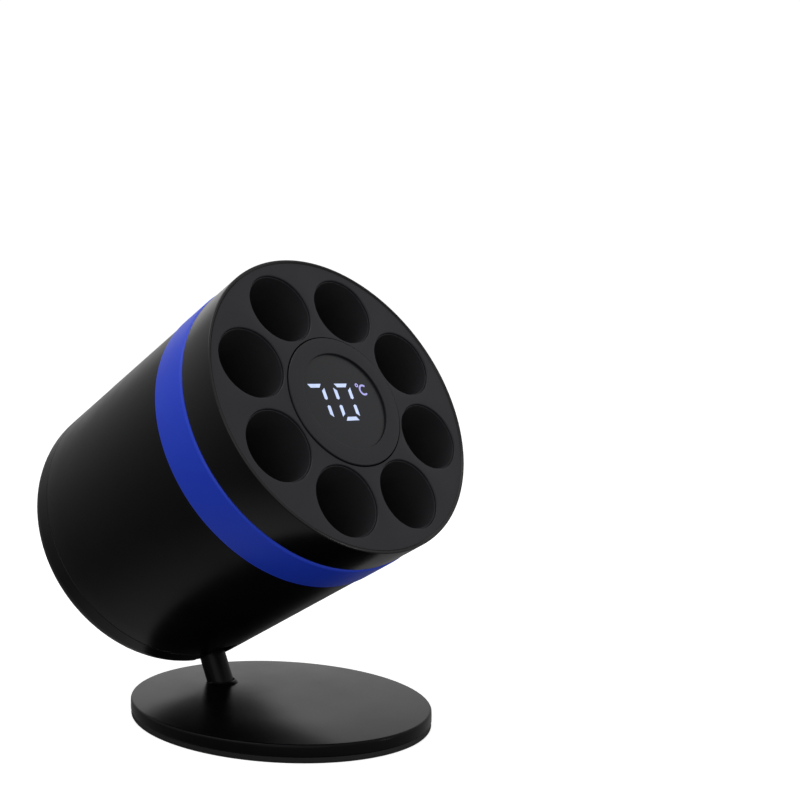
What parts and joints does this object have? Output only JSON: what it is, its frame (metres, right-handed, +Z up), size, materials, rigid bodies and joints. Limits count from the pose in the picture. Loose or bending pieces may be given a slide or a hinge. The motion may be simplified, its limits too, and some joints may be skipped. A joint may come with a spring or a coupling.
{
  "type": "dry block heater",
  "caption": "Desktop dry block heater: a tilted round barrel with a ring of tube wells around a pressable digit display, on a short leaning post and an oval foot.",
  "frame": {"origin": "centre of the oval foot's underside", "axes": "+Z up, the barrel's face towards -Y and tilted up, +X to the right seen from the face"},
  "size_m": [0.0738, 0.1038, 0.1085],
  "materials": {
    "satin_black_plastic": "satin moulded",
    "gloss_black_plastic": "gloss moulded",
    "blue_plastic": "satin moulded",
    "face_plastic": "satin moulded",
    "lens_plastic": "smoked",
    "black_steel": "satin powder coat",
    "grip_rubber": "matt",
    "black_aluminium": "black anodised",
    "bare_aluminium": "extruded",
    "silicone": "matt",
    "glass_felt": "needled felt",
    "frame_plastic": "moulded",
    "steel": "zinc plated",
    "brass": "turned",
    "acetal": "turned",
    "circuit_board": "solder mask",
    "component_black": "moulded",
    "digit_module": "moulded",
    "cable_grey": "flat cable"
  },
  "bodies": {
    "stand": {"base_plate": "black_steel", "base_pad": "grip_rubber", "post": "black_steel", "post_collar": "black_steel"},
    "barrel": {"body_shell": "satin_black_plastic", "rear_cap": "satin_black_plastic", "front_cap": "gloss_black_plastic", "accent_ring": "blue_plastic", "face_plate": "face_plastic", "well_cups": "black_aluminium", "heater_core": "bare_aluminium", "heater_mat": "silicone", "insulation_disc": "glass_felt", "insulation_sleeve": "glass_felt", "rear_frame": "frame_plastic", "display_carrier": "frame_plastic", "hinge_bracket": "steel", "hinge_pin": "steel", "rear_cap_screws": "steel", "core_screws": "steel", "bracket_screws": "steel", "board_screws": "steel", "temperature_sensor": "steel", "core_standoffs": "brass", "board_spacers": "brass", "friction_washers": "acetal", "control_board": "circuit_board", "display_board": "circuit_board", "power_transistor": "component_black", "board_capacitor": "component_black", "mode_switch": "component_black", "power_inlet": "component_black", "led_display": "digit_module", "display_cable": "cable_grey"},
    "display_button": {"display_cap": "face_plastic", "display_lens": "lens_plastic", "switch_plunger": "acetal"}
  },
  "joints": [
    {"name": "barrel_tilt", "type": "hinge", "parent": "stand", "child": "barrel", "pos_m": [0, 0.02906, 0.01745], "axis": [-1, 0, 0], "range_deg": [-20, 6]},
    {"name": "display_press", "type": "slide", "parent": "barrel", "child": "display_button", "axis": [0, 0.891, -0.454], "range_m": [0, 0.0005], "stiffness_N_per_m": 4000}
  ]
}
